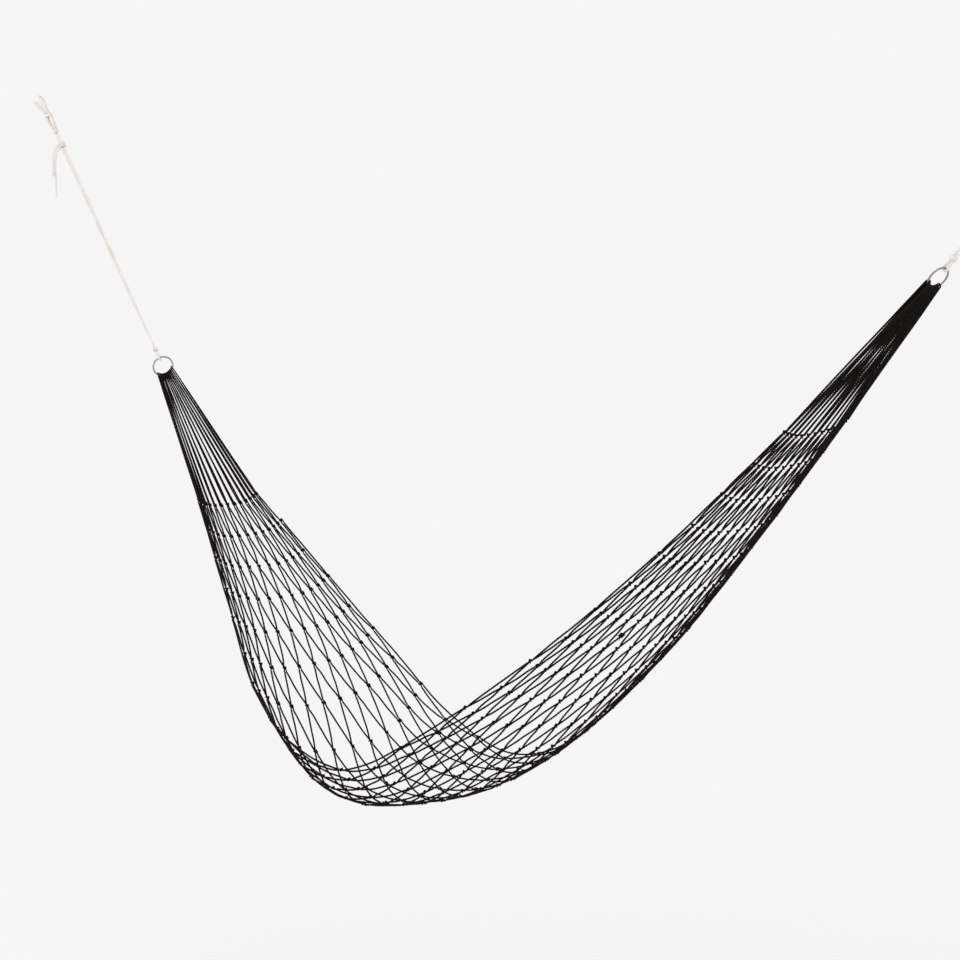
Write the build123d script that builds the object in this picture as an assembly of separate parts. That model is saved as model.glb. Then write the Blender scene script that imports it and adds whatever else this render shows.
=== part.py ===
from build123d import *
import math
import os

# Net hammock hung from two points, in millimetres.
# X runs along the hammock, Y across it away from the viewer, Z is up.
# The origin is where the left hook bears on its hanging loop.

# Cord and ring sizes
net_cord = 4.8
rope_cord = 6.0
ring_outer = 56.0
ring_wire = 4.5
seat_gap = 0.2
running_gap = 0.3

# Netting: knots across, passes of the netting cord, and the bead that each knot makes
knots_across = 13
courses = 24
knot_width = 11.4
knot_length = 10.8
knot_depth = 7.2
leg_offset = net_cord / 2 + 0.3
leg_root = 1.2
clew_cord_width = 2.9
clew_leg_offset = net_cord / 2 + 0.1
left_clew_seat = 1.9
right_clew_seat = 1.2
side_power = 3.2
edge_bunching = 0.36

# Sections of the hanging bed: knot row, x, height of the near edge, height of the far edge,
# width between the edges, and how far the middle of the row droops
bed_sections = [
    (0, 674, -1087, -1069, 225, 21),
    (4, 888, -1368, -1353, 460, 50),
    (6, 992, -1517, -1480, 560, 85),
    (8, 1129, -1634, -1629, 640, 150),
    (10, 1305, -1694, -1721, 670, 98),
    (12, 1478, -1632, -1684, 680, 62),
    (16, 1787, -1429, -1452, 570, 38),
    (20, 2067, -1192, -1183, 420, 30),
    (24, 2332, -937, -902, 295, 18),
]

# Rings: centre, and how far each is turned about the line of its rope
left_ring_x = 449.0
left_ring_z = -741.0
left_ring_turn = 32.0
right_ring_x = 2609.0
right_ring_z = -619.0
right_ring_turn = 78.0
clew_pitch = clew_cord_width + 0.55

# Hanging ropes: loops over the hooks, the knots under them, and what is tied on the way down
loop_length = 55.0
hook_radius = 5.0
second_loop_lean = 20.0
loop_foot_shift = 3.3
loop_seat = 2.0
right_rope_rise = 110.0
right_rope_lean = 41.0
hitch_height = 12.0
hitch_wall = 3.0
flare_above_ring = 16.0
hitch_above_flare = 10.0
seizing_height = 18.0
seizing_below_knot = 45.0
leg_spacing = rope_cord + 0.4

# Knot under the loops: a collar, two thick strands that bow apart, and a round foot.
# The strands are given as points down the knot and out from its middle.
knot_run = 60.0
knot_collar = (25.0, 14.0, 13.0)
collar_softness = 3.4
collar_tilt = 9.0
knot_strand = 9.5
knot_strand_route = [(9, 6.6), (26, 7.6), (46, 4.2), (60, 0)]
knot_foot_radius = 8.5
foot_facets = 6

# How far along each leg of the left rope, and by how many degrees, the two legs have wound round
# each other on the way up from the ring
left_leg_turns = [(0.3, 30), (0.5, 60), (0.7, 90)]

# Loose ends of the left rope: where each leaves the seizing, as a shift along the rope, then the
# points of its route from there
tail_cord = rope_cord
tail_exits = [4.5, -4.5]
tail_routes = [
    [(-6, -4, -8), (-10, -6, -26), (-11, -6, -56), (-10, -5, -94), (-8, -4, -134)],
    [(-6, -7, -8), (-9, -12, -26), (-9, -13, -54), (-8, -12, -84)],
]

# Extra knot where two lengths of netting cord are joined
join_course = 17
join_column = 4
join_size = 11.0

ring_radius = (ring_outer - ring_wire) / 2
wire_radius = ring_wire / 2
wire_sides = 8
rope_sides = 6
clew_inner = wire_radius + running_gap
bend_steps = 3

left_hook = Vector(0, 0, 0)
left_ring_centre = Vector(left_ring_x, 0, left_ring_z)
right_ring_centre = Vector(right_ring_x, 0, right_ring_z)
left_rope_line = (left_ring_centre - left_hook).normalized()
lean = math.radians(right_rope_lean)
right_rope_line = Vector(-math.sin(lean), 0, -math.cos(lean))
left_knot_top = left_hook + left_rope_line * loop_length
left_knot_foot = left_knot_top + left_rope_line * knot_run
right_knot_foot = right_ring_centre - right_rope_line * right_rope_rise
right_knot_top = right_knot_foot - right_rope_line * knot_run


def row_value(row, column):
    """Value of one column of the bed sections at a knot row, smooth through the sections."""
    rows = [section[0] for section in bed_sections]
    values = [section[column] for section in bed_sections]
    last = len(rows) - 1
    place = max(i for i in range(last) if rows[i] <= max(row, rows[0]))

    def slope(i):
        before, after = max(i - 1, 0), min(i + 1, last)
        return (values[after] - values[before]) / (rows[after] - rows[before])

    step = rows[place + 1] - rows[place]
    t = (row - rows[place]) / step
    start, end = values[place], values[place + 1]
    bend_start, bend_end = slope(place) * step, slope(place + 1) * step
    return (
        start * (2 * t**3 - 3 * t**2 + 1)
        + bend_start * (t**3 - 2 * t**2 + t)
        + end * (3 * t**2 - 2 * t**3)
        + bend_end * (t**3 - t**2)
    )


def across(row, share):
    """Point of a row at a straight share of its width, from the near edge to the far edge."""
    x, near, far, width, droop = (row_value(row, column) for column in range(1, 6))
    hang = droop * (1 - abs(2 * share - 1) ** side_power)
    return Vector(x, (share - 0.5) * width, near + (far - near) * share - hang)


def on_row(row, share):
    """Point of a row at a share of its length along the drooping cord."""
    steps = 48
    bunched = share - edge_bunching / (2 * math.pi) * math.sin(2 * math.pi * share)
    points = [across(row, i / steps) for i in range(steps + 1)]
    lengths = [(b - a).length for a, b in zip(points, points[1:])]
    left = min(max(bunched, 0), 1) * sum(lengths)
    for start, end, length in zip(points, points[1:], lengths):
        if left <= length:
            return start + (end - start) * (left / length)
        left -= length
    return points[-1]


def knot_share(row, column):
    """Every second row is shifted by half a mesh."""
    return (column + 0.5 * (row % 2)) / (knots_across - 0.5)


def knot_frame(row, column):
    """Centre of a knot, with its directions down the net, across it and out of it."""
    share = knot_share(row, column)
    centre = on_row(row, share)
    above, below = max(row - 1, 0), min(row + 1, courses)
    down = (on_row(below, share) - on_row(above, share)).normalized()
    side = on_row(row, min(share + 0.04, 1)) - on_row(row, max(share - 0.04, 0))
    side = (side - down * side.dot(down)).normalized()
    return centre, down, side, down.cross(side)


knots = [
    [knot_frame(row, column) for column in range(knots_across)] for row in range(courses + 1)
]


def bar(start, end, facing, size):
    """Straight cord of square section between two points."""
    line = end - start
    place = Plane(origin=(start + end) / 2, x_dir=facing.cross(line), z_dir=line)
    return place * Box(size, size, line.length)


def bead(frame):
    """Knot of the net, as a small block in line with its cords."""
    centre, down, side, out = frame
    place = Plane(origin=centre, x_dir=side, z_dir=down)
    return place * Box(knot_width, knot_depth, knot_length)


def leg_to(frame, target, hand, arrival):
    """One side of a mesh, from the foot of its knot to just short of the knot that holds it."""
    centre, down, side, out = frame
    held, held_down, held_side, held_out = target
    start = centre + down * (knot_length / 2 - leg_root) + side * (hand * leg_offset)
    top = held - held_down * (knot_length / 2) + held_side * (arrival * leg_offset)
    line = (top - start).normalized()
    slant = math.radians(line.get_angle(held_down))
    half_diagonal = net_cord / math.sqrt(2)
    end = top - line * (seat_gap + half_diagonal * math.tan(slant))
    return bar(start, end, out, net_cord)


def meshes_below(row, column):
    """Knots that the two sides of a mesh run down to, with the side that each arrives on.

    A side at the selvedge skips a row.
    """
    shift = row % 2
    near, far = column - 1 + shift, column + shift
    targets = []
    for hand, place in ((-1, near), (1, far)):
        if 0 <= place < knots_across:
            targets.append((hand, row + 1, place, -hand))
        elif row + 2 <= courses:
            targets.append((hand, row + 2, column, hand))
    return targets


def make_course(row):
    """One pass of the netting cord: its knots, each with the sides of the mesh under it."""
    solids = []
    for column in range(knots_across):
        frame = knots[row][column]
        knot = bead(frame)
        for hand, below_row, below_column, arrival in meshes_below(row, column):
            leg = leg_to(frame, knots[below_row][below_column], hand, arrival)
            knot = knot + leg
            if (row, column, hand) == (join_course, join_column, 1):
                place = Plane(origin=leg.center(), x_dir=frame[2], z_dir=frame[1])
                knot = knot + place * Box(join_size, join_size, join_size)
        solids.append(knot.solid())
    return solids


def ring_plane(rope_line, turn):
    """Plane of a ring: it holds the line of the rope and is turned about it."""
    angle = math.radians(turn)
    upright = Vector(-rope_line.Z, 0, rope_line.X)
    normal = Vector(0, -1, 0) * math.cos(angle) + upright * math.sin(angle)
    side = rope_line.cross(normal).normalized()
    if side.Y < 0:
        side = side * -1
    return normal, side


def make_ring(centre, rope_line, turn):
    """Welded ring of round wire."""
    normal, side = ring_plane(rope_line, turn)
    wire = Plane.XZ * Pos(ring_radius, 0) * RegularPolygon(wire_radius, wire_sides)
    return Plane(origin=centre, x_dir=side, z_dir=normal) * revolve(wire, Axis.Z)


def clew_loop(centre, rope_line, turn, frame, place, entry, seat):
    """Doubled clew cord: over the ring's wire and down both sides to one knot of the net."""
    normal, side = ring_plane(rope_line, turn)
    knot_top = frame[0] + frame[1] * (entry * (knot_length / 2 + seat))
    lateral = clew_pitch * (place - (knots_across - 1) / 2)
    wire = centre + side * lateral + rope_line * math.sqrt(ring_radius**2 - lateral**2)
    flat = (knot_top - wire) - normal * (knot_top - wire).dot(normal)
    line = flat.normalized()
    offset = abs((centre - wire).cross(line).length)
    foot = (centre - wire).dot(line)
    inner_side = ring_radius - wire_radius
    outer_side = ring_radius + wire_radius
    slab = offset + clew_cord_width / 2
    crown = math.sqrt(inner_side**2 - slab**2) - running_gap + clew_inner
    clear = math.sqrt(outer_side**2 - max(offset - clew_cord_width / 2, 0) ** 2) + 1
    plane = Plane(origin=wire + line * foot, x_dir=normal, z_dir=normal.cross(line))
    reach = (knot_top - plane.origin).dot(line)
    swing = (knot_top - plane.origin).dot(normal)
    inner, outer = [], []
    for radius, points in ((clew_inner, inner), (clew_inner + net_cord, outer)):
        corner = radius / math.cos(math.pi / (2 * bend_steps))
        half = clew_leg_offset + (net_cord / 2 if radius > clew_inner else -net_cord / 2)
        points.append((swing - half, reach))
        points.append((-radius, clear))
        for i in range(bend_steps):
            angle = math.pi * (i + 0.5) / bend_steps
            points.append((-corner * math.cos(angle), crown - corner * math.sin(angle)))
        points.append((radius, clear))
        points.append((swing + half, reach))
    outline = Polyline(*outer, *reversed(inner), close=True)
    face = plane * make_face(outline)
    return extrude(face, amount=clew_cord_width / 2, both=True).solid()


def tube(route, radii, cord):
    """Cord along straight runs joined by arcs."""
    path = FilletPolyline(*route, radius=radii)
    section = RegularPolygon(cord / 2, rope_sides)
    cord_solid = sweep(Plane(origin=path @ 0, z_dir=path % 0) * section, path=path)
    print("cord", round(path.length, 1), "long, volume over section times length",
          round(cord_solid.volume / (section.area * path.length), 4))
    return cord_solid


def route_radii(name, route):
    """Arc for each corner of a free cord, as large as its two runs allow."""
    radii = []
    for before, corner, after in zip(route, route[1:], route[2:]):
        turn = math.radians((corner - before).get_angle(after - corner))
        run = min((corner - before).length, (after - corner).length)
        radii.append(0.45 * run / math.tan(turn / 2))
    print(name, "radii", [round(radius, 1) for radius in radii])
    return radii


def foot_ball(centre, rope_line, radius):
    """Round foot of a knot, turned about the line of its rope."""
    angles = [math.pi * (i / foot_facets - 0.5) for i in range(foot_facets + 1)]
    points = [(radius * math.cos(angle), radius * math.sin(angle)) for angle in angles]
    profile = Plane.XZ * make_face(Polyline(*points, close=True))
    place = Plane(origin=centre, x_dir=Vector(0, 1, 0), z_dir=rope_line)
    return place * revolve(profile, Axis.Z)


def rope_through_ring(centre, rope_line, turn, foot, leg_turns):
    """Both legs of a hanging rope, and its bend round the ring's wire."""
    normal, side = ring_plane(rope_line, turn)
    bend = wire_radius + running_gap + rope_cord / 2
    wire = centre - rope_line * ring_radius
    top = wire - rope_line * flare_above_ring
    run = (top - foot).length
    legs = []
    for hand in (-1, 1):
        low = wire + normal * (hand * bend)
        away = normal * (hand * leg_spacing / 2)
        leg = [low + rope_line * bend, low - rope_line * 0.5, top + away]
        for share, degrees in leg_turns:
            angle = math.radians(degrees)
            apart = normal * math.cos(angle) + side * math.sin(angle)
            away = apart * (hand * leg_spacing / 2)
            leg.append(top - rope_line * (run * share) + away)
        leg.append(foot + away)
        legs.append(leg)
    easy = 4 * rope_cord
    small = 0.98 * bend
    leg_radii = [small, easy / 2] + [easy] * (len(leg_turns) + 1)
    radii = leg_radii[:0:-1] + [small, small] + leg_radii[1:]
    rope = tube(legs[0][::-1] + legs[1], radii, rope_cord)
    half_facet = math.pi / (2 * foot_facets)
    room = foot_ball(foot, rope_line, (knot_foot_radius + running_gap) / math.cos(half_facet))
    return (rope - room).solid(), normal, top - rope_line * hitch_above_flare


def sleeve(centre, rope_line, long_way, height, wall):
    """Turns of cord that bind the two legs of a rope together."""
    plane = Plane(origin=centre, x_dir=long_way, z_dir=rope_line)
    round_size = rope_cord + 2 * running_gap
    long_size = leg_spacing + round_size
    outer = SlotOverall(long_size + 2 * wall, round_size + 2 * wall)
    inner = SlotOverall(long_size, round_size)
    return extrude(plane * (outer - inner), amount=height / 2, both=True).solid()


def loop_knot(top, foot, rope_line, inward):
    """Loose knot in the doubled rope: its collar, its two bowed strands and its foot."""
    width, depth, height = knot_collar
    tilted = inward.rotate(Axis.Y, collar_tilt)
    place = Plane(origin=top + rope_line * (height / 2), x_dir=tilted,
                  z_dir=tilted.cross(Vector(0, 1, 0)))
    block = Box(width, depth, height)
    knot = place * chamfer(block.edges(), collar_softness)
    for hand in (-1, 1):
        points = [top + rope_line * down + inward * (hand * out) for down, out in knot_strand_route]
        path = Polyline(*points)
        section = Plane(origin=path @ 0, z_dir=path % 0) * RegularPolygon(knot_strand / 2, 8)
        knot = knot + sweep(section, path=path, transition=Transition.RIGHT)
    return (knot + foot_ball(foot, rope_line, knot_foot_radius)).solid()


def hook_loop(start, direction, length):
    """Bight of rope that hangs on the hook, from its knot round the hook and back."""
    bend = hook_radius + rope_cord / 2
    across_loop = Vector(0, 1, 0)
    crown = start + direction * (length + rope_cord / 2)
    shoulder = length - 2.6 * bend
    points = [start - direction * loop_seat - across_loop * (leg_spacing / 2)]
    points.append(start + direction * shoulder - across_loop * bend)
    points.append(crown - across_loop * bend)
    points.append(crown + across_loop * bend)
    points.append(start + direction * shoulder + across_loop * bend)
    points.append(start - direction * loop_seat + across_loop * (leg_spacing / 2))
    small = 0.97 * bend
    return tube(points, [2 * bend, small, small, 2 * bend], rope_cord)


nodes = {}

for row in range(courses):
    nodes[f"net_course_{row + 1:02d}"] = make_course(row)

left_loops = []
right_loops = []
for column in range(knots_across):
    loop = clew_loop(left_ring_centre, left_rope_line, left_ring_turn, knots[0][column], column,
                     -1, left_clew_seat)
    left_loops.append(loop)
    loop = clew_loop(right_ring_centre, right_rope_line, right_ring_turn, knots[courses][column],
                     column, 1, right_clew_seat)
    right_loops.append(loop)
nodes["left_clew_cords"] = left_loops
nodes["right_clew_cords"] = right_loops
nodes["right_clew_knots"] = [bead(frame).solid() for frame in knots[courses]]

sides = {
    "left": (left_ring_centre, left_rope_line, left_ring_turn, left_knot_top, left_knot_foot,
             left_leg_turns),
    "right": (right_ring_centre, right_rope_line, right_ring_turn, right_knot_top,
              right_knot_foot, []),
}
for name, (centre, rope_line, turn, knot_top, foot, leg_turns) in sides.items():
    nodes[f"{name}_ring"] = [make_ring(centre, rope_line, turn).solid()]
    rope, normal, hitch_centre = rope_through_ring(centre, rope_line, turn, foot, leg_turns)
    nodes[f"{name}_hanging_rope"] = [rope]
    hitch = sleeve(hitch_centre, rope_line, normal, hitch_height, hitch_wall)
    nodes[f"{name}_ring_hitch"] = [hitch]
    outward = math.copysign(1, rope_line.X)
    inward = Vector(0, 1, 0).cross(rope_line) * -outward
    knot = loop_knot(knot_top, foot, rope_line, inward)
    nodes[f"{name}_loop_knot"] = [knot]
    hook = knot_top - rope_line * loop_length
    taut_start = knot_top + inward * loop_foot_shift
    taut_line = hook - taut_start
    taut = hook_loop(taut_start, taut_line.normalized(), taut_line.length)
    leaning = (rope_line * -1).rotate(Axis.Y, -second_loop_lean * outward)
    slack = hook_loop(knot_top - inward * loop_foot_shift, leaning, loop_length)
    nodes[f"{name}_hanging_loops"] = [(taut - knot).solid(), (slack - knot).solid()]

seizing_centre = left_knot_foot + left_rope_line * seizing_below_knot
left_normal, left_side = ring_plane(left_rope_line, left_ring_turn)
seizing = sleeve(seizing_centre, left_rope_line, left_side, seizing_height, hitch_wall)
nodes["left_rope_seizing"] = [seizing]
tails = []
for drop, route in zip(tail_exits, tail_routes):
    reach = leg_spacing / 2 + rope_cord / 2 + running_gap + hitch_wall / 2
    start = seizing_centre + left_rope_line * drop - left_side * reach
    points = [start] + [start + Vector(*point) for point in route]
    tails.append((tube(points, route_radii("tail", points), tail_cord) - seizing).solid())
nodes["left_rope_tails"] = tails

os.makedirs("parts", exist_ok=True)
for name, solids in nodes.items():
    shape = solids[0] if len(solids) == 1 else Compound(children=solids)
    export_step(shape, f"parts/{name}.step")
print(len(nodes), "nodes")
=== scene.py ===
# %% [markdown]
# A net hammock, hung from two hooks.
# Black netting twine is knotted into diamond meshes. The twine of both ends, the clews, is gathered
# on a steel ring, and a doubled white rope holds each ring. This file builds the looks of that
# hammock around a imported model, which says where everything hangs, which piece each part belongs to
# and how it moves. All lengths are in metres.

# %% The frame
import math
from functools import lru_cache

import bpy
import numpy as np
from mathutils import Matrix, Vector


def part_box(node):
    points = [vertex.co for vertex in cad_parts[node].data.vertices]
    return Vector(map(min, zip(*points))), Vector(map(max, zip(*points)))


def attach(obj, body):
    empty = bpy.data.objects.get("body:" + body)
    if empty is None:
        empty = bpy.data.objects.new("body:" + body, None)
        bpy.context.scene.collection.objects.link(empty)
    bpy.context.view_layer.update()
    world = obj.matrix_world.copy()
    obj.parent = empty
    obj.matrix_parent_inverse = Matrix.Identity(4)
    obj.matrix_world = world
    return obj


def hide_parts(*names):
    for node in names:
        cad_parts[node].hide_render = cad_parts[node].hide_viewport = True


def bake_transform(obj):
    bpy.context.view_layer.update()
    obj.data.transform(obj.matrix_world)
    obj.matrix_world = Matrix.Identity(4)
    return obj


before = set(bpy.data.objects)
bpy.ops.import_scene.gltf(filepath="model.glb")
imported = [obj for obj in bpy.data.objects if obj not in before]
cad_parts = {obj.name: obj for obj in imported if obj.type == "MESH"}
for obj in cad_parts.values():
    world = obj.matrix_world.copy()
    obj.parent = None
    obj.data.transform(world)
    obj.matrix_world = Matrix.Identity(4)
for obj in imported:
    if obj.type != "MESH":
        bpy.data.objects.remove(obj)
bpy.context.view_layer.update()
print("nodes in the frame:", len(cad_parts))

# %% [markdown]
# The same driving sizes as the model has, so that each twine lies where its solid lies.
# A millimetre is written as mm, which keeps the numbers those of a maker's drawing.

# %% Driving sizes
mm = 0.001
twine = 4.8 * mm
rope = 6.0 * mm
ring_outer = 56.0 * mm
ring_wire = 4.5 * mm
running_gap = 0.3 * mm
knots_across = 13
courses = 24
knot_length = 10.8 * mm
leg_offset = twine / 2 + 0.3 * mm
side_power = 3.2
edge_bunching = 0.36

# Sections of the hanging bed: knot row, x, height of the near edge, height of the far edge,
# width between the edges, and how far the middle of the row droops
bed_sections = np.array([
    (0, 0.674, -1.087, -1.069, 0.225, 0.021),
    (4, 0.888, -1.368, -1.353, 0.460, 0.050),
    (6, 0.992, -1.517, -1.480, 0.560, 0.085),
    (8, 1.129, -1.634, -1.629, 0.640, 0.150),
    (10, 1.305, -1.694, -1.721, 0.670, 0.098),
    (12, 1.478, -1.632, -1.684, 0.680, 0.062),
    (16, 1.787, -1.429, -1.452, 0.570, 0.038),
    (20, 2.067, -1.192, -1.183, 0.420, 0.030),
    (24, 2.332, -0.937, -0.902, 0.295, 0.018),
])

left_ring_centre = np.array([0.449, 0.0, -0.741])
right_ring_centre = np.array([2.609, 0.0, -0.619])
left_ring_turn = 32.0
right_ring_turn = 78.0
clew_pitch = 3.45 * mm
loop_length = 55.0 * mm
hook_radius = 5.0 * mm
second_loop_lean = 20.0
loop_foot_shift = 3.3 * mm
loop_seat = 2.0 * mm
knot_run = 60.0 * mm
right_rope_rise = 110.0 * mm
right_rope_lean = 41.0
flare_above_ring = 16.0 * mm
hitch_above_flare = 10.0 * mm
hitch_height = 12.0 * mm
seizing_below_knot = 45.0 * mm
seizing_height = 18.0 * mm
leg_spacing = rope + 0.4 * mm


def unit(vector):
    """The same direction, one metre long."""
    return vector / np.linalg.norm(vector)


ring_radius = (ring_outer - ring_wire) / 2
wire_radius = ring_wire / 2
left_hook = np.zeros(3)
left_rope_line = unit(left_ring_centre - left_hook)
right_rope_line = np.array([
    -math.sin(math.radians(right_rope_lean)), 0.0, -math.cos(math.radians(right_rope_lean))
])
left_knot_top = left_hook + left_rope_line * loop_length
left_knot_foot = left_knot_top + left_rope_line * knot_run
right_knot_foot = right_ring_centre - right_rope_line * right_rope_rise
right_knot_top = right_knot_foot - right_rope_line * knot_run
left_reach = np.linalg.norm(left_ring_centre - left_knot_foot)
print("left rope from knot to ring:", round(float(left_reach), 3), "m")

# %% [markdown]
# The camera first. The photograph looks level at the hammock, 35 degrees round from its side, from
# far away, so the two ropes hardly converge. The lens follows from the picture's width and how
# large a known length appears in it.

# %% Camera
view_azimuth = math.radians(35.0)
view_distance = 5.5
picture_side = 960
focal_pixels = 2340.4
sensor = 36.0
aim = Vector((1.45364, 0.0, -1.03649))

camera = bpy.data.objects.new("camera", bpy.data.cameras.new("camera"))
bpy.context.scene.collection.objects.link(camera)
back = Vector((math.sin(view_azimuth), -math.cos(view_azimuth), 0.0))
camera.location = aim + back * view_distance
camera.rotation_mode = "QUATERNION"
camera.rotation_quaternion = (-back).to_track_quat("-Z", "Y")
camera.data.sensor_width = sensor
camera.data.lens = sensor * focal_pixels / picture_side
camera.data.clip_end = 100.0
bpy.context.scene.camera = camera
print("lens:", round(camera.data.lens, 1), "mm")

# %% [markdown]
# Materials are node trees. One helper adds a node, sets it and links what feeds it, and one turns
# the sRGB hex values of a colour card into the linear numbers that shaders want.

# %% Material helpers


def card(code):
    """Linear colour of an sRGB hex value."""
    parts = [int(code[i:i + 2], 16) / 255 for i in (1, 3, 5)]
    linear = [c / 12.92 if c <= 0.04045 else ((c + 0.055) / 1.055) ** 2.4 for c in parts]
    return (*linear, 1.0)


def add(tree, kind, inputs=None, **settings):
    """Adds a node; inputs maps a socket's name or number to a value or to the output that feeds it."""
    made = tree.nodes.new(kind)
    for name, value in settings.items():
        setattr(made, name, value)
    for name, value in (inputs or {}).items():
        if isinstance(value, bpy.types.NodeSocket):
            tree.links.new(value, made.inputs[name])
        else:
            made.inputs[name].default_value = value
    return made


def new_material(name):
    """An empty material with its tree and its output node."""
    made = bpy.data.materials.new(name)
    made.use_nodes = True
    made.node_tree.nodes.clear()
    return made, made.node_tree, made.node_tree.nodes.new("ShaderNodeOutputMaterial")


# %% [markdown]
# Netting twine: nylon fibres twisted into three strands and dyed black. It is nearly black all
# over with a brown tint, and it has a soft shine along the lay. The strands are modelled, so the
# material only adds the fibres: streaks that run along the strand, 0.4 mm apart, lighter brown in
# places, which is partly the twine's tint and partly a painted highlight on the fibres. They are
# finer than a pixel of the picture, so they are drawn at 0.8 mm.

# %% Black nylon twine
fibre_pitch = 0.8 * mm


def laid_fibre(name, dark, light, roughness, sheen, gloss, bump):
    """Fibre that runs along a strand: two colours in streaks, with a fine bump."""
    made, tree, out = new_material(name)
    route = add(tree, "ShaderNodeUVMap", uv_map="Lay")
    place = add(tree, "ShaderNodeMapping", {"Vector": route.outputs[0],
                                            "Scale": (1 / (14 * fibre_pitch), 9.0, 1.0)})
    streak = add(tree, "ShaderNodeTexNoise", {"Vector": place.outputs[0], "Scale": 1.0,
                                              "Detail": 3.0, "Roughness": 0.6})
    where = add(tree, "ShaderNodeTexCoord")
    patch = add(tree, "ShaderNodeTexNoise", {"Vector": where.outputs["Object"], "Scale": 28.0,
                                             "Detail": 2.0})
    amount = add(tree, "ShaderNodeMath", {0: streak.outputs["Fac"], 1: patch.outputs["Fac"]},
                 operation="MULTIPLY")
    tone = add(tree, "ShaderNodeMapRange", {"Value": amount.outputs[0], "From Min": 0.12,
                                            "From Max": 0.42})
    # Streaks between the dark and the light colour; on the black twine the light streaks are partly a
    # painted highlight.
    colour = add(tree, "ShaderNodeMix", {"Factor": tone.outputs[0], "A": card(dark),
                                         "B": card(light)}, data_type="RGBA")
    rough = add(tree, "ShaderNodeMapRange", {"Value": streak.outputs["Fac"],
                                             "To Min": roughness - 0.08,
                                             "To Max": roughness + 0.08})
    relief = add(tree, "ShaderNodeBump", {"Height": streak.outputs["Fac"], "Strength": bump,
                                          "Distance": 0.2 * mm})
    shader = add(tree, "ShaderNodeBsdfPrincipled", {
        "Base Color": colour.outputs["Result"], "Roughness": rough.outputs[0],
        "Normal": relief.outputs[0], "Sheen Weight": sheen, "Sheen Roughness": 0.4,
        "Specular IOR Level": gloss})
    tree.links.new(shader.outputs[0], out.inputs["Surface"])
    return made


# The lighter streak colour of the twine is partly its brown tint and partly a painted fibre highlight.
black_twine = laid_fibre("black_nylon_twine", "#0B0807", "#1C1613", 0.7, 0.02, 0.12, 0.35)

# %% [markdown]
# The hanging ropes are white three-strand cotton rope. Cotton is matt, slightly warm, and it
# takes up a little dirt in the grooves, so the streaks run from a warm grey to near white.

# %% White cotton rope
white_rope = laid_fibre("white_cotton_rope", "#EFE3DE", "#FCF8F5", 0.9, 0.1, 0.3, 0.3)

# %% [markdown]
# The rings are bent from steel wire, welded shut and nickel plated. Plating is smooth and bright,
# with faint scratches round the ring from tumbling. The metal keeps the default IOR.

# %% Nickel-plated steel
made, tree, out = new_material("nickel_plated_steel")
where = add(tree, "ShaderNodeTexCoord")
scratch = add(tree, "ShaderNodeTexNoise", {"Vector": where.outputs["Object"], "Scale": 900.0,
                                           "Detail": 4.0})
cloud = add(tree, "ShaderNodeTexNoise", {"Vector": where.outputs["Object"], "Scale": 60.0})
rough = add(tree, "ShaderNodeMapRange", {"Value": scratch.outputs["Fac"], "To Min": 0.16,
                                         "To Max": 0.34})
tint = add(tree, "ShaderNodeMix", {"Factor": cloud.outputs["Fac"], "A": card("#8A8783"),
                                   "B": card("#B4B2AE")}, data_type="RGBA")
relief = add(tree, "ShaderNodeBump", {"Height": scratch.outputs["Fac"], "Strength": 0.08,
                                      "Distance": 0.1 * mm})
shader = add(tree, "ShaderNodeBsdfPrincipled", {
    "Base Color": tint.outputs["Result"], "Metallic": 1.0, "Roughness": rough.outputs[0],
    "Normal": relief.outputs[0]})
tree.links.new(shader.outputs[0], out.inputs["Surface"])
plated_steel = made

# %% [markdown]
# Every twine and rope here is the same thing: a smooth line with a section of three lobes swept
# along it, turning once per lay. A curve with a bevel can't turn its section that often, so the
# line is worked out as points and the tube is built from rings of points. A cubic B-spline
# smooths given points without overshooting them, which keeps knots tight.

# %% A smooth line, and a laid cord along it
lobe_swell = 0.04


def smooth(points, steps=6):
    """Cubic B-spline through a list of control points, starting and ending on the first and last."""
    points = np.array(points, float)
    ends = [2 * points[0] - points[1]], [2 * points[-1] - points[-2]]
    p = np.concatenate([ends[0], points, ends[1]])
    t = np.linspace(0, 1, steps, endpoint=False)[:, None]
    weights = [(1 - t) ** 3, 3 * t**3 - 6 * t**2 + 4, -3 * t**3 + 3 * t**2 + 3 * t + 1, t**3]
    runs = [sum(w * p[i + k] for k, w in enumerate(weights)) / 6 for i in range(len(p) - 3)]
    return np.concatenate([*runs, points[-1:]])


def evenly(line, step):
    """The line again, with points about step apart, and how far along each one is."""
    lengths = np.linalg.norm(np.diff(line, axis=0), axis=1)
    along = np.concatenate([[0.0], np.cumsum(lengths)])
    at = np.linspace(0, along[-1], max(3, int(along[-1] / step) + 1))
    return np.stack([np.interp(at, along, line[:, k]) for k in range(3)], axis=1), at


def carried_sides(line):
    """A side direction for each point of a line, carried along it with no twist of its own."""
    tangents = np.gradient(line, axis=0)
    tangents /= np.linalg.norm(tangents, axis=1)[:, None]
    first = np.cross(tangents[0], (0.31, 0.77, 0.56))
    sides = np.empty_like(line)
    side = unit(first)
    for i, tangent in enumerate(tangents):
        side = side - tangent * float(side @ tangent)
        side /= math.sqrt(float(side @ side))
        sides[i] = side
    return tangents, sides


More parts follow.
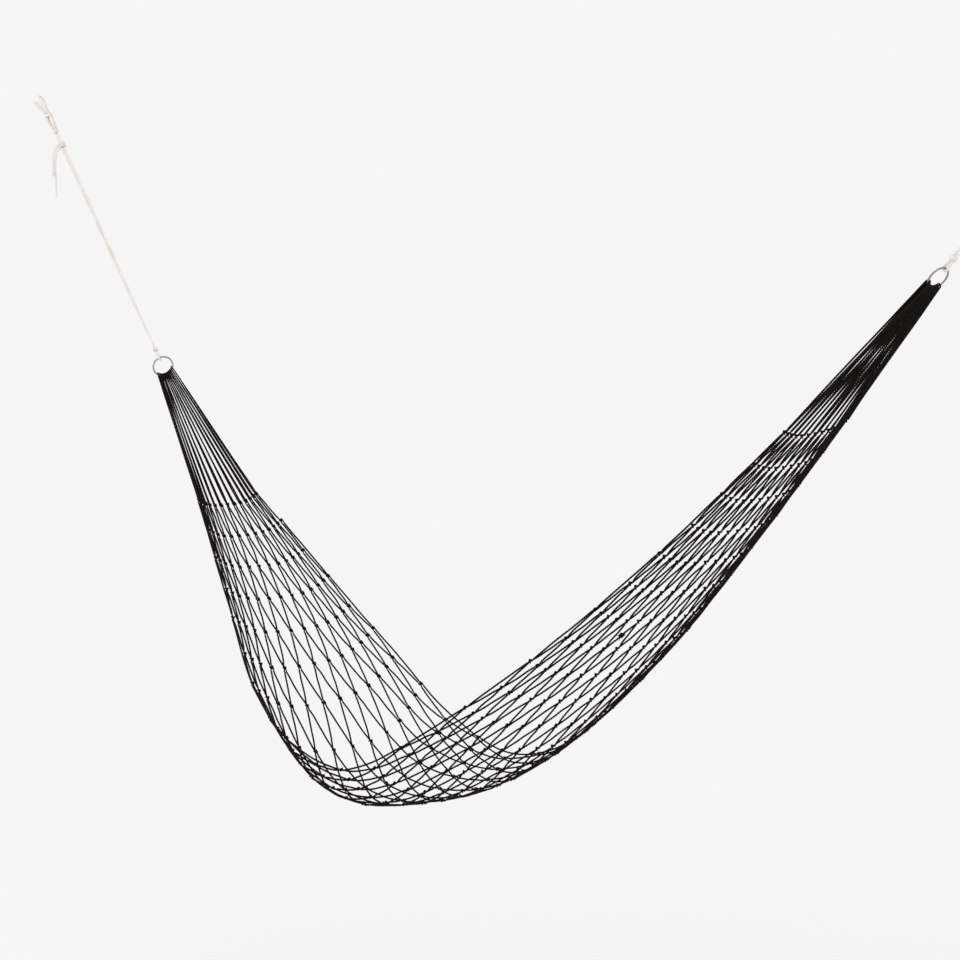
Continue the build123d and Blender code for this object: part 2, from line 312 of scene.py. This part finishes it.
def laid_tube(line, along, diameter, lay, girth=None, lobes=3, per_lobe=2, depth=0.16):
    """Points and faces of a laid cord: rings of lobes that turn once per lay.

    girth gives a factor for each point of the line, where the cord is squeezed.
    """
    tangents, sides = carried_sides(line)
    others = np.cross(tangents, sides)
    around = lobes * per_lobe
    angle = np.arange(around) * 2 * math.pi / around
    reach = diameter / 2 * (1 + lobe_swell - depth * (0.5 - 0.5 * np.cos(lobes * angle)))
    reach = reach[None, :] * (np.ones(len(line)) if girth is None else girth)[:, None]
    turn = angle[None, :] + (along * 2 * math.pi / lay)[:, None]
    points = (line[:, None, :]
              + sides[:, None, :] * (np.cos(turn) * reach)[:, :, None]
              + others[:, None, :] * (np.sin(turn) * reach)[:, :, None]).reshape(-1, 3)
    rings = len(line)
    i, j = np.meshgrid(np.arange(rings - 1), np.arange(around), indexing="ij")
    k = (j + 1) % around
    quads = np.stack([i * around + j, i * around + k, (i + 1) * around + k, (i + 1) * around + j],
                     axis=-1).reshape(-1, 4)
    lay_uv = np.stack([
        np.stack([along[i], j / around], -1), np.stack([along[i], (j + 1) / around], -1),
        np.stack([along[i + 1], (j + 1) / around], -1), np.stack([along[i + 1], j / around], -1),
    ], axis=2).reshape(-1, 2)
    caps = [list(range(around))[::-1], [(rings - 1) * around + a for a in range(around)]]
    return points, quads, lay_uv, caps


def cord_piece(name, lines, diameter, lay, material, body, step=None, squeeze=None, **form):
    """One mesh of laid cord along each of several lines, riding on a body.

    squeeze, if given, turns the points of a line into their girths.
    """
    step = step or lay / 6
    points, faces, uvs, count = [], [], [], 0
    for line in lines:
        even, along = evenly(line, step)
        girth = squeeze(even) if squeeze else None
        p, quads, uv, caps = laid_tube(even, along, diameter, lay, girth, **form)
        points.append(p)
        faces += (quads + count).tolist() + [[a + count for a in cap] for cap in caps]
        uvs.append(uv)
        uvs.append(np.zeros((2 * len(caps[0]), 2)))
        count += len(p)
    mesh = bpy.data.meshes.new(name)
    mesh.from_pydata(np.concatenate(points).tolist(), [], faces)
    layer = mesh.uv_layers.new(name="Lay")
    layer.data.foreach_set("uv", np.concatenate(uvs).ravel())
    mesh.shade_smooth()
    mesh.materials.append(material)
    piece = bpy.data.objects.new(name, mesh)
    bpy.context.scene.collection.objects.link(piece)
    if body:
        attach(piece, body)
    return piece


# %% [markdown]
# The net. Its shape is the loaded bed of the hammock, given by a few sections along it; every knot
# sits at a row and at a share of that row's drooping width. Rows are shifted by half a mesh in
# turn, as knotted netting is. Knots crowd towards both edges, where the meshes are pulled shut.

# %% The bed and its knots


def bed_values(row):
    """x, near height, far height, width and droop of the bed at a row."""
    rows, values = bed_sections[:, 0], bed_sections[:, 1:]
    last = len(rows) - 1
    place = max(i for i in range(last) if rows[i] <= max(row, rows[0]))

    def slope(i):
        before, after = max(i - 1, 0), min(i + 1, last)
        return (values[after] - values[before]) / (rows[after] - rows[before])

    step = rows[place + 1] - rows[place]
    t = (row - rows[place]) / step
    return (values[place] * (2 * t**3 - 3 * t**2 + 1)
            + slope(place) * step * (t**3 - 2 * t**2 + t)
            + values[place + 1] * (3 * t**2 - 2 * t**3)
            + slope(place + 1) * step * (t**3 - t**2))


@lru_cache(maxsize=None)
def row_line(row):
    """Points along a row from edge to edge, with the share of its length at each."""
    x, near, far, width, droop = bed_values(row)
    share = np.linspace(0, 1, 49)
    hang = droop * (1 - np.abs(2 * share - 1) ** side_power)
    points = np.stack([np.full_like(share, x), (share - 0.5) * width,
                       near + (far - near) * share - hang], axis=1)
    lengths = np.concatenate([[0], np.cumsum(np.linalg.norm(np.diff(points, axis=0), axis=1))])
    return points, lengths / lengths[-1]


def on_row(row, share):
    """Point of a row at a share of its length, with the knots crowded towards both edges."""
    points, lengths = row_line(row)
    bunched = share - edge_bunching / (2 * math.pi) * math.sin(2 * math.pi * share)
    at = min(max(bunched, 0.0), 1.0)
    return np.array([np.interp(at, lengths, points[:, k]) for k in range(3)])


def knot_share(row, column):
    """Every second row is shifted by half a mesh."""
    return (column + 0.5 * (row % 2)) / (knots_across - 0.5)


def knot_frame(row, column):
    """Centre of a knot, with its directions down the net, across it and out of it."""
    share = knot_share(row, column)
    centre = on_row(row, share)
    above, below = max(row - 1, 0), min(row + 1, courses)
    down = unit(on_row(below, share) - on_row(above, share))
    side = on_row(row, min(share + 0.04, 1)) - on_row(row, max(share - 0.04, 0))
    side = unit(side - down * float(side @ down))
    return centre, down, side, np.cross(down, side)


knots = [[knot_frame(row, column) for column in range(knots_across)] for row in range(courses + 1)]
low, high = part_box("net_course_10")
centres = np.array([k[0] for k in knots[9]])
print("row 9 of knots from", centres.min(0).round(3), "to", centres.max(0).round(3))
print("its node from", [round(v, 3) for v in low], "to", [round(v, 3) for v in high])

# %% [markdown]
# Each knot of a hand-made net is a sheet bend. The twine comes up from the mesh on the left,
# through the bight of the row above, round behind it, and out under itself to the right, where it
# leaves in a small arch. The two routes below are that knot, in diameters of the twine: across,
# out of the net, and up. The bight of the row above opens round the twine that passes through it.

# %% The knot
knot_route = [
    (-0.75, -0.35, -2.9), (-0.62, -0.75, -1.9), (-0.25, -0.70, -1.1), (0.0, 0.0, -0.55),
    (0.05, 0.95, -0.55), (0.10, 1.65, 0.05), (0.45, 1.35, 0.75), (1.15, 0.65, 1.15),
    (1.30, -0.25, 1.20), (0.65, -0.95, 1.10), (-0.55, -0.95, 0.85), (-1.25, -0.35, 0.55),
    (-1.15, 0.60, 0.30), (-0.35, 0.95, 0.10), (0.55, 0.95, 0.15), (1.30, 0.70, 0.30),
    (1.60, 0.30, -0.10), (1.45, 0.05, -1.20), (0.90, 0.0, -2.9),
]
bight_route = [
    (-0.80, 0.0, 3.0), (-0.62, 0.0, 1.8), (-0.92, 0.0, 0.5), (-0.90, 0.0, -0.5),
    (-0.45, 0.05, -1.25), (0.0, 0.05, -1.4),
]
knot_tightness = 0.64
knot_girth = 0.76
side_wander = 0.45 * mm
rng = np.random.default_rng(7)
knot_turns = rng.uniform(-0.35, 0.35, (courses + 1, knots_across))
knot_sizes = rng.uniform(0.92, 1.1, (courses + 1, knots_across))


def in_knot(row, column, route, side_of=1):
    """A route of a knot, placed in the net; side_of -1 mirrors it across."""
    centre, down, side, out = knots[row][column]
    turn = knot_turns[row, column]
    across = side * math.cos(turn) + out * math.sin(turn)
    away = out * math.cos(turn) - side * math.sin(turn)
    size = twine * knot_tightness * knot_sizes[row, column]
    return [centre + size * (u * side_of * across + v * away - w * down) for u, v, w in route]


def half_bight(row, column, arrival):
    """The bight from one of its two sides down to its middle."""
    return in_knot(row, column, bight_route, -arrival)


def side_of_mesh(row, column, hand, below_row, below_column, arrival):
    """Twine from a knot down to the knot that holds it, following the bed between them."""
    start, end = knot_share(row, column), knot_share(below_row, below_column)
    first = knots[row][column][2] * hand * leg_offset
    last = knots[below_row][below_column][2] * arrival * leg_offset
    points = []
    for t in (0.25, 0.42, 0.58, 0.75):
        place = on_row(row + t * (below_row - row), start + t * (end - start))
        points.append(place + first * (1 - t) + last * t + rng.normal(0, side_wander, 3))
    return points


def course_line(row):
    """One pass of the twine: from bight to knot to bight, all the way across the net."""
    shift = row % 2
    route = []
    for column in range(knots_across):
        for hand in (-1, 1):
            near = column - 1 + shift if hand < 0 else column + shift
            if 0 <= near < knots_across:
                target = (row + 1, near, -hand)
            elif row + 2 <= courses:
                target = (row + 2, column, hand)
            else:
                target = None
            leg = []
            if target:
                leg = side_of_mesh(row, column, hand, *target)
                leg += half_bight(*target)
            if hand < 0:
                route += leg[::-1] + in_knot(row, column, knot_route)
            else:
                route += leg
    return smooth(route, 5)


# %% [markdown]
# Twenty-four passes of the twine make the net. Each is one unbroken line of about four metres,
# swept with a lay of 16 mm, and it takes the place of the model's plain row. A knot that has held
# a person is pulled tight, and its turns press each other to three quarters of their girth.

# %% The net's courses
twine_lay = 16.0 * mm
twine_form = {"step": 2.1 * mm}
squeezed_reach, free_reach = 6 * mm, 12 * mm


def squeezed_by(points, tight, free, girth):
    """A rule for the girth of a cord: squeezed within the distance tight of any of the points."""

    def rule(line):
        apart = np.linalg.norm(line[:, None, :] - points[None, :, :], axis=2).min(axis=1)
        share = np.clip((apart - tight) / (free - tight), 0, 1)
        return girth + (1 - girth) * share * share * (3 - 2 * share)

    return rule


total = 0.0
for row in range(courses):
    line = course_line(row)
    name = f"twine_course_{row + 1:02d}"
    near_knots = np.array([k[0] for r in range(row, min(row + 3, courses + 1)) for k in knots[r]])
    piece = cord_piece(name, [line], twine, twine_lay, black_twine, "hammock",
                       squeeze=squeezed_by(near_knots, squeezed_reach, free_reach, knot_girth),
                       **twine_form)
    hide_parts(f"net_course_{row + 1:02d}")
    total += float(np.linalg.norm(np.diff(line, axis=0), axis=1).sum())
print("twine in the net:", round(total, 1), "m")

# %% [markdown]
# Where one length of twine ran out, the next was knotted on. The join sits halfway down a mesh:
# three tight turns, and two cut ends whose strands have opened into a small brush.

# %% The join in the twine
join_row, join_column = 17, 4
join_below = 0.5
join_turns = 3
join_rise = 2.16 * twine
join_reach = 0.8 * twine
brush_length = 13 * mm
brush_strands = 7
strand_spread = 0.34
strand_curl = 0.25
join_rng = np.random.default_rng(17)


def join_winding(place, down, side, out):
    """The line of the join's turns, round and along the twine."""
    per_turn = 8
    steps = per_turn * join_turns
    points = []
    for i in range(steps + 1):
        angle = 2 * math.pi * i / per_turn
        points.append(place + down * (i / steps - 0.5) * join_rise
                      + (side * math.cos(angle) + out * math.sin(angle)) * join_reach)
    return smooth(points, 3)


def brush_strand(place, down, side, hand):
    """One opened strand of a cut end; hand says which side of the join it points to."""
    way = unit(side * hand * 0.7 - down * 0.5 + join_rng.normal(0, strand_spread, 3))
    bend = unit(way + join_rng.normal(0, strand_curl, 3))
    root = place + way * 0.6 * twine
    middle = root + way * brush_length * 0.4
    return smooth([root, middle, middle + bend * brush_length * 0.5], 4)


start_share = knot_share(join_row, join_column)
end_share = knot_share(join_row + 1, join_column + join_row % 2)
join_place = on_row(join_row + join_below, start_share + join_below * (end_share - start_share))
join_down, join_side, join_out = knots[join_row][join_column][1:]
winding = join_winding(join_place, join_down, join_side, join_out)
brush = [brush_strand(join_place, join_down, join_side, 1 if i % 2 else -1)
         for i in range(brush_strands)]
join_piece = cord_piece("twine_join", [winding], twine, twine_lay, black_twine, "hammock",
                        step=1.5 * mm)
brush_piece = cord_piece("twine_join_brush", brush, twine * 0.36, twine_lay * 0.5, black_twine,
                         "hammock", step=1.5 * mm)
print("join at", join_place.round(3), "with", brush_strands, "opened strands")

# %% [markdown]
# The clews are doubled twines, one loop for each knot of the first and last row. Each goes over
# the ring's wire and down to its knot. On the left they end in a bight that the first row is
# knotted on; on the right the last knots are tied in them.

# %% Clew loops
clew_girth = 0.76
crowded_reach, spread_reach = 45 * mm, 100 * mm
clew_slack = 1.12
leg_start = 9 * mm
leg_wander = 0.5 * mm
clew_end_gap = 1.5 * mm
clew_spread = 0.55 * twine


def ring_sides(rope_line, turn):
    """A ring's normal and the direction across it; it is turned about the line of its rope."""
    angle = math.radians(turn)
    upright = np.array([-rope_line[2], 0.0, rope_line[0]])
    normal = np.array([0.0, -1.0, 0.0]) * math.cos(angle) + upright * math.sin(angle)
    side = unit(np.cross(rope_line, normal))
    return normal, side if side[1] >= 0 else -side


def over_ring(centre, rope_line, turn, column, far_points):
    """A loop's line over the wire, between the two points that its legs come from."""
    normal, side = ring_sides(rope_line, turn)
    lateral = clew_pitch * (column - (knots_across - 1) / 2)
    radial = side * lateral + rope_line * math.sqrt(ring_radius**2 - lateral**2)
    wire = centre + radial
    inward = -unit(radial)
    leave = unit(sum(far_points) / 2 - wire)
    reach = wire_radius + running_gap + twine / 2
    wrap = []
    for degrees in (-75, -40, 0, 40, 75):
        angle = math.radians(degrees)
        up = unit(inward * 0.5 - leave)
        wrap.append(wire + reach * clew_slack * (up * math.cos(angle) + normal * math.sin(angle)))
    legs = []
    for hand, far in zip((-1, 1), far_points):
        close = wire + normal * hand * reach + leave * leg_start
        legs.append([close + (far - close) * t + rng.normal(0, leg_wander, 3) * (0 < t < 1)
                     for t in (0.0, 0.03, 0.25, 0.5, 0.75, 0.95)])
    return legs[0][::-1] + wrap + legs[1]


def clew_ends(column, row, entry):
    """Where a clew loop's two legs meet its knot."""
    centre, down, side, out = knots[row][column]
    top = centre + down * entry * (knot_length / 2 + clew_end_gap)
    return [top - side * clew_spread, top + side * clew_spread]


left_lines, right_lines, knot_lines = [], [], []
for column in range(knots_across):
    first, last = clew_ends(column, 0, -1)
    loop = over_ring(left_ring_centre, left_rope_line, left_ring_turn, column, [first, last])
    entering, leaving = half_bight(0, column, -1), half_bight(0, column, 1)
    left_lines.append(smooth(entering[:0:-1] + loop + leaving[1:], 5))
    knot = in_knot(courses, column, knot_route)
    knot_lines.append(smooth(knot, 5))
    loop = over_ring(right_ring_centre, right_rope_line, right_ring_turn, column,
                     [knot[0], knot[-1]])
    right_lines.append(smooth([knot[0]] + loop + [knot[-1]], 5))

clew_squeeze = squeezed_by(np.array([left_ring_centre, right_ring_centre]), crowded_reach,
                           spread_reach, clew_girth)
last_squeeze = squeezed_by(np.array([k[0] for k in knots[courses]]), squeezed_reach, free_reach,
                           knot_girth)
for name, lines, node, squeeze in (
        ("clew_loops_left", left_lines, "left_clew_cords", clew_squeeze),
        ("clew_loops_right", right_lines, "right_clew_cords", clew_squeeze),
        ("clew_knots_right", knot_lines, "right_clew_knots", last_squeeze)):
    piece = cord_piece(name, lines, twine, twine_lay, black_twine, "hammock", squeeze=squeeze,
                       **twine_form)
    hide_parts(node)
    print(name, "longest", round(max(float(np.linalg.norm(np.diff(x, axis=0), axis=1).sum())
                                     for x in lines), 3), "m")

# %% [markdown]
# The rings are a torus with a weld: the wire's ends meet in a slightly thicker bead.
# The section is swept round the ring in code, because that is where the bead goes.

# %% Rings
weld_angle = math.radians(200.0)
weld_width = math.radians(7.0)
weld_swell = 0.35 * mm


def ring_piece(name, node, centre, rope_line, turn, body):
    """Ring of round wire with a weld bead."""
    normal, side = ring_sides(rope_line, turn)
    up = np.cross(normal, side)
    around, section = 128, 20
    turn_at = np.arange(around) * 2 * math.pi / around
    apart = np.abs((turn_at - weld_angle + math.pi) % (2 * math.pi) - math.pi)
    radius = wire_radius + weld_swell * np.exp(-(apart / weld_width) ** 2)
    round_it = np.arange(section) * 2 * math.pi / section
    outward = (side[None, :] * np.cos(turn_at)[:, None] + up[None, :] * np.sin(turn_at)[:, None])
    points = (centre + outward[:, None, :] * (
        ring_radius + radius[:, None] * np.cos(round_it)[None, :])[:, :, None]
        + normal * (radius[:, None] * np.sin(round_it)[None, :])[:, :, None]).reshape(-1, 3)
    i, j = np.meshgrid(np.arange(around), np.arange(section), indexing="ij")
    ni, nj = (i + 1) % around, (j + 1) % section
    quads = np.stack([i * section + j, ni * section + j, ni * section + nj, i * section + nj], -1)
    mesh = bpy.data.meshes.new(name)
    mesh.from_pydata(points.tolist(), [], quads.reshape(-1, 4).tolist())
    mesh.shade_smooth()
    mesh.materials.append(plated_steel)
    piece = bpy.data.objects.new(name, mesh)
    bpy.context.scene.collection.objects.link(piece)
    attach(piece, body)
    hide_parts(node)
    return piece


ring_piece("welded_ring_left", "left_ring", left_ring_centre, left_rope_line, left_ring_turn,
           "left_ring")
ring_piece("welded_ring_right", "right_ring", right_ring_centre, right_rope_line,
           right_ring_turn, "right_ring")

# %% [markdown]
# The hanging ropes are free cords that pull straight. Each one is doubled: it leaves its knot,
# goes down round the ring's wire and comes back up. The route is a NURBS curve with given
# points, and the laid tube follows the points that Blender works out along it.

# %% Ropes
rope_lay = 21.0 * mm
rope_form = {"per_lobe": 4, "depth": 0.3, "step": 1.5 * mm}
flare_run = 6 * rope


def nurbs_line(name, points, resolution=8):
    """Points that Blender works out along a NURBS curve of order 3 with these control points."""
    curve = bpy.data.curves.new(name, "CURVE")
    curve.dimensions = "3D"
    curve.resolution_u = resolution
    spline = curve.splines.new("NURBS")
    spline.points.add(len(points) - 1)
    for place, point in zip(spline.points, points):
        place.co = (*point, 1.0)
    spline.order_u = 3
    spline.use_endpoint_u = True
    holder = bpy.data.objects.new(name, curve)
    mesh = bpy.data.meshes.new_from_object(holder)
    line = np.array([v.co for v in mesh.vertices])
    bpy.data.objects.remove(holder)
    bpy.data.curves.remove(curve)
    bpy.data.meshes.remove(mesh)
    return line


def line_length(line):
    """Length of a line of points."""
    return float(np.linalg.norm(np.diff(line, axis=0), axis=1).sum())


def hanging_route(centre, rope_line, turn, foot, leg_turns):
    """Control points of a doubled rope, from its knot round the ring and back to the knot."""
    normal, side = ring_sides(rope_line, turn)
    bend = wire_radius + running_gap + rope / 2
    wire = centre - rope_line * ring_radius
    flare = wire - rope_line * flare_above_ring
    run = np.linalg.norm(flare - foot)
    legs = []
    for hand in (-1, 1):
        away = normal * hand * leg_spacing / 2
        low = wire + normal * hand * bend
        leg = [low + rope_line * bend, low - rope_line * 0.5 * mm, flare + away,
               flare - rope_line * flare_run + away]
        for share, degrees in leg_turns:
            angle = math.radians(degrees)
            apart = normal * math.cos(angle) + side * math.sin(angle)
            away = apart * hand * leg_spacing / 2
            leg.append(flare - rope_line * run * share + away)
        legs.append(leg + [foot + away])
    return legs[0][::-1] + legs[1]


def hanging_rope(name, node, centre, rope_line, turn, foot, leg_turns):
    """One doubled hanging rope."""
    line = nurbs_line(name, hanging_route(centre, rope_line, turn, foot, leg_turns))
    piece = cord_piece(name, [line], rope, rope_lay, white_rope, None, **rope_form)
    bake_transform(piece)
    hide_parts(node)
    print(name, round(line_length(line), 3), "m")
    return piece, line


left_leg_turns = [(0.3, 30), (0.5, 60), (0.7, 90)]
left_rope, left_line = hanging_rope("rope_left", "left_hanging_rope", left_ring_centre,
                                    left_rope_line, left_ring_turn, left_knot_foot,
                                    left_leg_turns)
right_rope, right_line = hanging_rope("rope_right", "right_hanging_rope", right_ring_centre,
                                      right_rope_line, right_ring_turn, right_knot_foot, [])

# %% [markdown]
# The hook loops are bights of the same rope. One is taut and stands in line with the rope; the
# other is slack and leans away. Both go round the hook, so their crowns have the hook's radius.

# %% Hook loops
shoulder_share = 2.6


def loop_route(start, direction, length):
    """Control points of one hook loop, from its knot round the hook and back."""
    bend = hook_radius + rope / 2
    across = np.array([0.0, 1.0, 0.0])
    seat = start - direction * loop_seat
    crown = start + direction * (length + rope / 2)
    shoulder = start + direction * (length - shoulder_share * bend)
    half = [seat - across * leg_spacing / 2, shoulder - across * bend, crown - across * bend]
    return half + [crown + across * bend, shoulder + across * bend, seat + across * leg_spacing / 2]


def turned(vector, degrees):
    """A direction turned about the Y axis."""
    a = math.radians(degrees)
    x, y, z = vector
    return np.array([x * math.cos(a) + z * math.sin(a), y, -x * math.sin(a) + z * math.cos(a)])


knot_places = {}
for side_name, knot_top, foot, rope_line in (
        ("left", left_knot_top, left_knot_foot, left_rope_line),
        ("right", right_knot_top, right_knot_foot, right_rope_line)):
    outward = math.copysign(1, rope_line[0])
    inward = np.cross((0.0, 1.0, 0.0), rope_line) * -outward
    knot_places[side_name] = (knot_top, foot, rope_line, inward)
    hook = knot_top - rope_line * loop_length
    taut_start = knot_top + inward * loop_foot_shift
    taut_length = float(np.linalg.norm(hook - taut_start))
    leaning = turned(-rope_line, -second_loop_lean * outward)
    for kind, start, direction, length in (
            ("taut", taut_start, unit(hook - taut_start), taut_length),
            ("slack", knot_top - inward * loop_foot_shift, leaning, loop_length)):
        name = f"hook_loop_{side_name}_{kind}"
        line = nurbs_line(name, loop_route(start, direction, length))
        piece = cord_piece(name, [line], rope, rope_lay, white_rope, "hanging_loops", **rope_form)
        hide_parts(f"{side_name}_hanging_loops")
        print(name, round(line_length(line), 3), "m")

# %% [markdown]
# Turns of rope bind the two legs together at the ring, and where the ends are tied off on the
# left. A turn is an oval round the two legs, and the turns climb by one diameter each. The knot
# under the loops is a loose one: a turn across its top, two pairs of strands that bow apart and
# leave a small eye, and a last turn round its foot.

# %% Knots, hitches and the seizing
binding_cord = 3.4 * mm


def turns_line(centre, rope_line, long_way, short_way, halves, climb, turns):
    """A winding of turns round the legs of a rope; halves is its reach the long and short way."""
    per_turn = 16
    points = []
    for i in range(turns * per_turn + 1):
        a = 2 * math.pi * i / per_turn
        up = (i / (turns * per_turn) - 0.5) * climb
        points.append(centre + rope_line * up + long_way * halves[0] * math.cos(a)
                      + short_way * halves[1] * math.sin(a))
    return smooth(points, 4)


def wound_piece(name, lines, cord, body, node):
    """Turns of white rope as one piece."""
    piece = cord_piece(name, lines, cord, rope_lay * cord / rope, white_rope, body,
                       per_lobe=4, depth=0.22, step=1.4 * mm)
    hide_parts(node)
    return piece


def binding(name, node, centre, rope_line, long_way, height, cord):
    """Turns of cord that bind the two legs of a rope together."""
    short_way = np.cross(rope_line, long_way)
    halves = (leg_spacing / 2 + rope / 2 + cord / 2, rope / 2 + cord / 2)
    line = turns_line(centre, rope_line, long_way, short_way, halves, height - cord,
                      max(2, round(height / cord)))
    return wound_piece(name, [line], cord, "hammock", node)


knot_rope = 5.4 * mm
knot_strands = [(2, 5.2), (12, 6.9), (26, 7.9), (40, 6.0), (52, 3.4), (62, 2.2)]
strand_depth, low_strand_depth = 3.4, 2.9
low_from = 20
collar_below_top = 7 * mm
collar_reach = (9.6 * mm, 6.4 * mm)
foot_reach = (5.6 * mm, 5.4 * mm)
turns_climb = 6 * mm
collar_lean = 0.16


def knot_strand(knot_top, rope_line, inward, hand, depth):
    """One of the four strands that bow apart between the collar and the foot."""
    points = []
    for down, out in knot_strands:
        deep = low_strand_depth if down > low_from else strand_depth
        points.append(knot_top + (rope_line * down + inward * hand * out
                                  + depth_way * depth * deep) * mm)
    return smooth(points, 6)


depth_way = np.array([0.0, 1.0, 0.0])
for side_name, (knot_top, foot, rope_line, inward) in knot_places.items():
    lines = [knot_strand(knot_top, rope_line, inward, hand, depth)
             for hand in (-1, 1) for depth in (-1, 1)]
    lines.append(turns_line(knot_top + rope_line * collar_below_top, rope_line,
                            unit(inward + rope_line * collar_lean), depth_way, collar_reach,
                            turns_climb, 2))
    lines.append(turns_line(foot, rope_line, inward, depth_way, foot_reach, turns_climb, 2))
    wound_piece(f"loop_knot_{side_name}", lines, knot_rope, "hanging_loops",
                f"{side_name}_loop_knot")

for side_name, centre, rope_line, turn in (
        ("left", left_ring_centre, left_rope_line, left_ring_turn),
        ("right", right_ring_centre, right_rope_line, right_ring_turn)):
    place = centre - rope_line * (ring_radius + flare_above_ring + hitch_above_flare)
    binding(f"hitch_{side_name}", f"{side_name}_ring_hitch", place,
                                 rope_line, ring_sides(rope_line, turn)[0], hitch_height,
                                 binding_cord)
left_side = ring_sides(left_rope_line, left_ring_turn)[1]
seizing_centre = left_knot_foot + left_rope_line * seizing_below_knot
seizing = binding("seizing_left", "left_rope_seizing", seizing_centre, left_rope_line, left_side,
                  seizing_height, binding_cord)

# %% [markdown]
# The two loose ends of the left rope hang from the seizing. They are free cords: each leaves the
# seizing, falls and ends in a blunt cut.

# %% Tails
tail_exits = [4.5, -4.5]
tail_routes = [
    [(-6, -4, -8), (-10, -6, -26), (-11, -6, -56), (-10, -5, -94), (-8, -4, -134)],
    [(-6, -7, -8), (-9, -12, -26), (-9, -13, -54), (-8, -12, -84)],
]
tail_clearance = 1.5 * mm
tail_reach = leg_spacing / 2 + rope / 2 + running_gap + tail_clearance
for number, (drop, route) in enumerate(zip(tail_exits, tail_routes), 1):
    start = seizing_centre + left_rope_line * drop * mm - left_side * tail_reach
    points = [start] + [start + np.array(point) * mm for point in route]
    line = nurbs_line(f"tail_{number}", points)
    piece = cord_piece(f"rope_tail_{number}", [line], rope, rope_lay, white_rope, "hammock",
                       **rope_form)
    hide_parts("left_rope_tails")
    print("tail", number, round(line_length(line), 3), "m")

# %% [markdown]

# %% [markdown]
# A plain studio: soft light from the whole sky, one large lamp from the upper left, and a pale
# floor well below the bed. The background's colour comes from what the camera sees, not from more
# light. The floor turns into that colour away from the hammock, and keeps its shadow under it.

# %% Studio
background = card("#F5F5F5")
floor_height = -2.32
world = bpy.data.worlds.new("studio")
bpy.context.scene.world = world
world.use_nodes = True
tree = world.node_tree
tree.nodes.clear()
ray = add(tree, "ShaderNodeLightPath")
shown = add(tree, "ShaderNodeMath", {0: ray.outputs["Is Camera Ray"],
                                     1: ray.outputs["Is Glossy Ray"]}, operation="MAXIMUM")
shown = add(tree, "ShaderNodeMath", {0: shown.outputs[0],
                                     1: ray.outputs["Is Transmission Ray"]}, operation="MAXIMUM")
sky = add(tree, "ShaderNodeBackground", {"Color": (1.0, 1.0, 1.0, 1.0), "Strength": 0.9})
plain = add(tree, "ShaderNodeBackground", {"Color": background, "Strength": 1.0})
mixed = add(tree, "ShaderNodeMixShader", {0: shown.outputs[0], 1: sky.outputs[0],
                                          2: plain.outputs[0]})
add(tree, "ShaderNodeOutputWorld", {"Surface": mixed.outputs[0]})

made, tree, out = new_material("painted_studio_floor")
ray = add(tree, "ShaderNodeLightPath")
where = add(tree, "ShaderNodeNewGeometry")
away = add(tree, "ShaderNodeVectorMath", {0: where.outputs["Position"],
                                          1: (aim.x, aim.y, floor_height)}, operation="DISTANCE")
plain_share = add(tree, "ShaderNodeMapRange", {"Value": away.outputs["Value"], "From Min": 0.8,
                                               "From Max": 2.6, "To Min": 0.5, "To Max": 1.0},
                  interpolation_type="SMOOTHSTEP")
shown = add(tree, "ShaderNodeMath", {0: ray.outputs["Is Camera Ray"],
                                     1: ray.outputs["Is Glossy Ray"]}, operation="MAXIMUM")
share = add(tree, "ShaderNodeMath", {0: shown.outputs[0], 1: plain_share.outputs[0]},
            operation="MULTIPLY")
paint = add(tree, "ShaderNodeBsdfDiffuse", {"Color": card("#F8F8F8")})
glow = add(tree, "ShaderNodeEmission", {"Color": background, "Strength": 1.0})
mixed = add(tree, "ShaderNodeMixShader", {0: share.outputs[0], 1: paint.outputs[0],
                                          2: glow.outputs[0]})
tree.links.new(mixed.outputs[0], out.inputs["Surface"])

floor_half = 30.0
mesh = bpy.data.meshes.new("floor")
mesh.from_pydata([(aim.x + x * floor_half, y * floor_half, floor_height)
                  for x, y in ((-1, -1), (1, -1), (1, 1), (-1, 1))], [], [(0, 1, 2, 3)])
mesh.materials.append(made)
floor = bpy.data.objects.new("floor", mesh)
bpy.context.scene.collection.objects.link(floor)


def lamp(name, place, size, power):
    """A large soft lamp that points at the hammock."""
    light = bpy.data.lights.new(name, "AREA")
    light.shape = "DISK"
    light.size = size
    light.energy = power
    holder = bpy.data.objects.new(name, light)
    bpy.context.scene.collection.objects.link(holder)
    holder.location = place
    holder.rotation_mode = "QUATERNION"
    holder.rotation_quaternion = (aim - Vector(place)).to_track_quat("-Z", "Y")


lamp("key_lamp", (-1.5, -4.0, 2.6), 3.0, 45.0)
lamp("fill_lamp", (5.0, -3.0, 1.2), 3.0, 15.0)
bpy.context.scene.view_settings.view_transform = "Standard"
